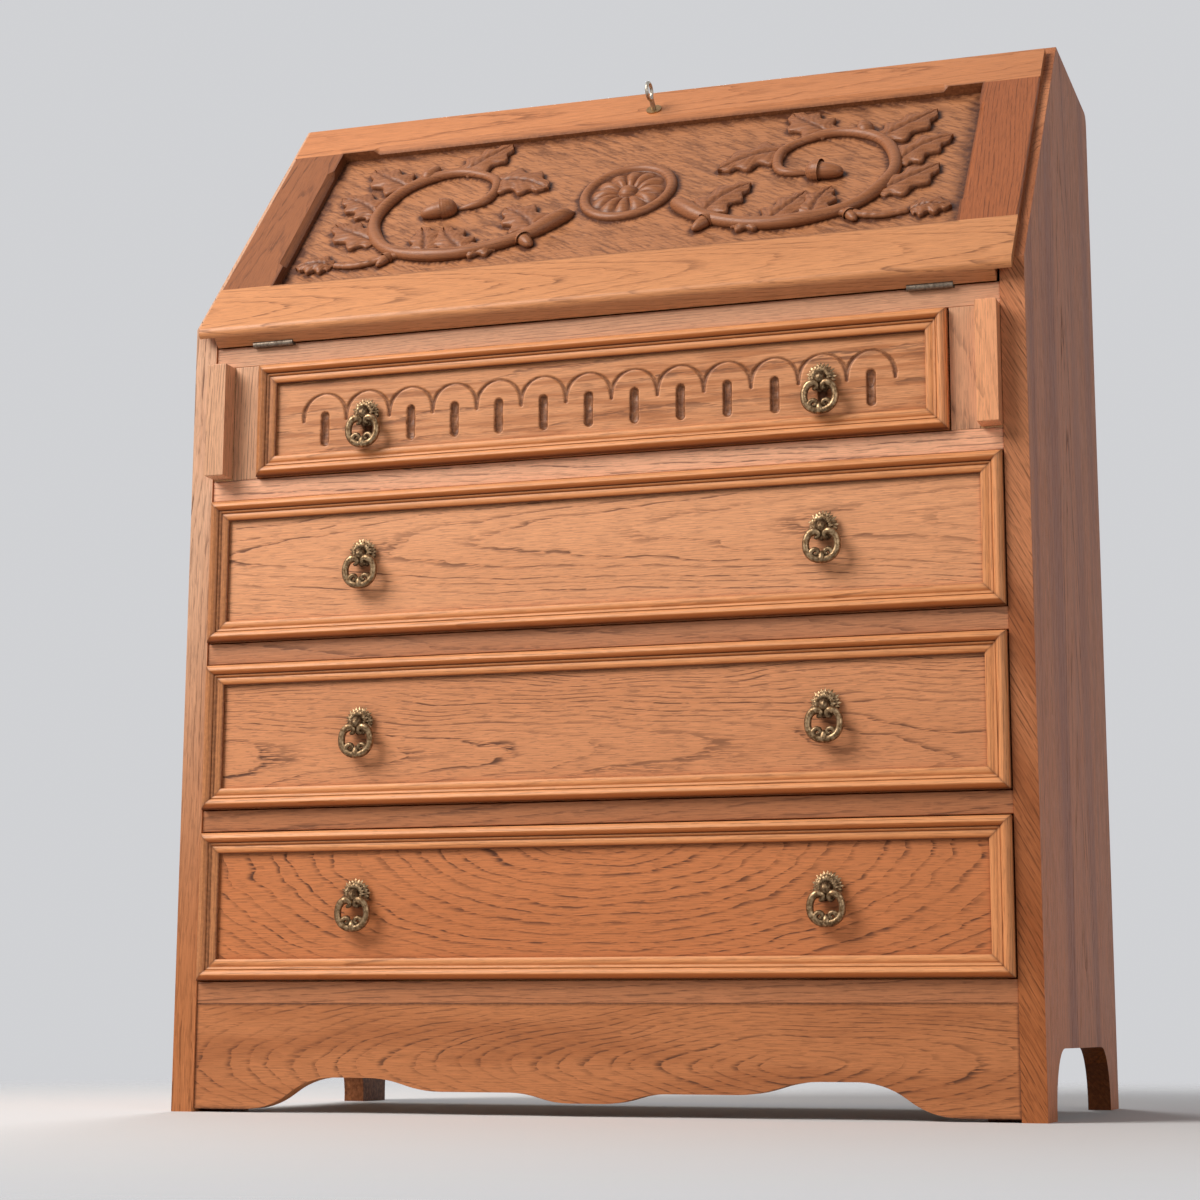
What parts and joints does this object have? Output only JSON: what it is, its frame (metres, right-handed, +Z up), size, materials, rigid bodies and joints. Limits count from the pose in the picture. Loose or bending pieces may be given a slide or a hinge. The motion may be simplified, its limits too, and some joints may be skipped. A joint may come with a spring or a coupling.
{
  "type": "writing bureau",
  "caption": "Slope-front oak writing bureau: hinged framed fall with lock, pull-out lopers, pigeonholes, and moulded drawers with brass drop-ring pulls.",
  "frame": {"origin": "on the floor, under the middle of the whole bureau (centre of its box in X and Y, with the loper blocks and pulls counted)", "axes": "+X to the right seen from the front, +Y to the back, +Z up"},
  "size_m": [0.812, 0.469, 1.035],
  "materials": {
    "oak": "satin lacquered oak",
    "oak_dark": "satin lacquered darker oak",
    "drawer_wood": "plain planed hardwood",
    "plywood": "plywood",
    "antique_brass": "antique brass",
    "lock_steel": "plain steel"
  },
  "bodies": {
    "carcass": {"apron": "oak", "back_panel": "plywood", "corner_blocks": "drawer_wood", "drawer_rails": "oak", "drawer_runners": "drawer_wood", "drawer_stops": "drawer_wood", "hinge_bed_leaves": "antique_brass", "hinge_pins": "antique_brass", "hinge_rail": "oak", "lock_strike": "lock_steel", "loper_partitions": "oak", "pigeonhole_dividers": "oak", "pigeonhole_shelf": "oak", "side_left": "oak", "side_right": "oak", "top_board": "oak", "writing_bed": "oak"},
    "fall": {"fall_top_rail": "oak", "fall_bottom_rail": "oak", "fall_stile_left": "oak_dark", "fall_stile_right": "oak_dark", "fall_panel": "oak", "hinge_fall_leaves": "antique_brass", "lock_case": "lock_steel", "keyhole_bush": "antique_brass"},
    "key": {"key": "lock_steel"},
    "lock_bolt": {"lock_bolt": "lock_steel"},
    "loper_left": {"loper_left_bar": "oak", "loper_left_front": "oak"},
    "loper_right": {"loper_right_bar": "oak", "loper_right_front": "oak"},
    "drawer_1": {"drawer_1_front": "oak", "drawer_1_moulding": "oak", "drawer_1_box": "drawer_wood", "drawer_1_bottom": "plywood", "drawer_1_pull_roses": "antique_brass"},
    "drawer_1_ring_left": {"drawer_1_ring_left": "antique_brass"},
    "drawer_1_ring_right": {"drawer_1_ring_right": "antique_brass"},
    "drawer_2": {"drawer_2_front": "oak", "drawer_2_moulding": "oak", "drawer_2_box": "drawer_wood", "drawer_2_bottom": "plywood", "drawer_2_pull_roses": "antique_brass"},
    "drawer_2_ring_left": {"drawer_2_ring_left": "antique_brass"},
    "drawer_2_ring_right": {"drawer_2_ring_right": "antique_brass"},
    "drawer_3": {"drawer_3_front": "oak", "drawer_3_moulding": "oak", "drawer_3_box": "drawer_wood", "drawer_3_bottom": "plywood", "drawer_3_pull_roses": "antique_brass"},
    "drawer_3_ring_left": {"drawer_3_ring_left": "antique_brass"},
    "drawer_3_ring_right": {"drawer_3_ring_right": "antique_brass"},
    "drawer_4": {"drawer_4_front": "oak", "drawer_4_moulding": "oak", "drawer_4_box": "drawer_wood", "drawer_4_bottom": "plywood", "drawer_4_pull_roses": "antique_brass"},
    "drawer_4_ring_left": {"drawer_4_ring_left": "antique_brass"},
    "drawer_4_ring_right": {"drawer_4_ring_right": "antique_brass"}
  },
  "joints": [
    {"name": "fall_hinge", "type": "hinge", "parent": "carcass", "child": "fall", "pos_m": [0, -0.217, 0.72802], "axis": [1, 0, 0], "range_deg": [0, 130.19]},
    {"name": "loper_left_slide", "type": "slide", "parent": "carcass", "child": "loper_left", "axis": [0, -1, 0], "range_m": [0, 0.25]},
    {"name": "loper_right_slide", "type": "slide", "parent": "carcass", "child": "loper_right", "axis": [0, -1, 0], "range_m": [0, 0.25]},
    {"name": "drawer_1_slide", "type": "slide", "parent": "carcass", "child": "drawer_1", "axis": [0, -1, 0], "range_m": [0, 0.27]},
    {"name": "drawer_1_ring_left_swing", "type": "hinge", "parent": "drawer_1", "child": "drawer_1_ring_left", "pos_m": [-0.22208, -0.227, 0.64776], "axis": [-1, 0, 0], "range_deg": [0, 95]},
    {"name": "drawer_1_ring_right_swing", "type": "hinge", "parent": "drawer_1", "child": "drawer_1_ring_right", "pos_m": [0.22208, -0.227, 0.64776], "axis": [-1, 0, 0], "range_deg": [0, 95]},
    {"name": "drawer_2_slide", "type": "slide", "parent": "carcass", "child": "drawer_2", "axis": [0, -1, 0], "range_m": [0, 0.27]},
    {"name": "drawer_2_ring_left_swing", "type": "hinge", "parent": "drawer_2", "child": "drawer_2_ring_left", "pos_m": [-0.22208, -0.227, 0.5123], "axis": [-1, 0, 0], "range_deg": [0, 95]},
    {"name": "drawer_2_ring_right_swing", "type": "hinge", "parent": "drawer_2", "child": "drawer_2_ring_right", "pos_m": [0.22208, -0.227, 0.5123], "axis": [-1, 0, 0], "range_deg": [0, 95]},
    {"name": "drawer_3_slide", "type": "slide", "parent": "carcass", "child": "drawer_3", "axis": [0, -1, 0], "range_m": [0, 0.27]},
    {"name": "drawer_3_ring_left_swing", "type": "hinge", "parent": "drawer_3", "child": "drawer_3_ring_left", "pos_m": [-0.22208, -0.227, 0.3533], "axis": [-1, 0, 0], "range_deg": [0, 95]},
    {"name": "drawer_3_ring_right_swing", "type": "hinge", "parent": "drawer_3", "child": "drawer_3_ring_right", "pos_m": [0.22208, -0.227, 0.3533], "axis": [-1, 0, 0], "range_deg": [0, 95]},
    {"name": "drawer_4_slide", "type": "slide", "parent": "carcass", "child": "drawer_4", "axis": [0, -1, 0], "range_m": [0, 0.27]},
    {"name": "drawer_4_ring_left_swing", "type": "hinge", "parent": "drawer_4", "child": "drawer_4_ring_left", "pos_m": [-0.22208, -0.227, 0.1943], "axis": [-1, 0, 0], "range_deg": [0, 95]},
    {"name": "drawer_4_ring_right_swing", "type": "hinge", "parent": "drawer_4", "child": "drawer_4_ring_right", "pos_m": [0.22208, -0.227, 0.1943], "axis": [-1, 0, 0], "range_deg": [0, 95]},
    {"name": "key_turn", "type": "hinge", "parent": "fall", "child": "key", "pos_m": [0, -0.0114, 1.00197], "axis": [0, -0.7634, 0.6459], "range_deg": [0, 180]},
    {"name": "lock_bolt_slide", "type": "slide", "parent": "fall", "child": "lock_bolt", "axis": [0, 0.6459, 0.7634], "range_m": [0, 0.012]}
  ],
  "couplings": [
    {"joint": "lock_bolt_slide", "follows": "key_turn", "m_per_rad": 0.0038197}
  ]
}
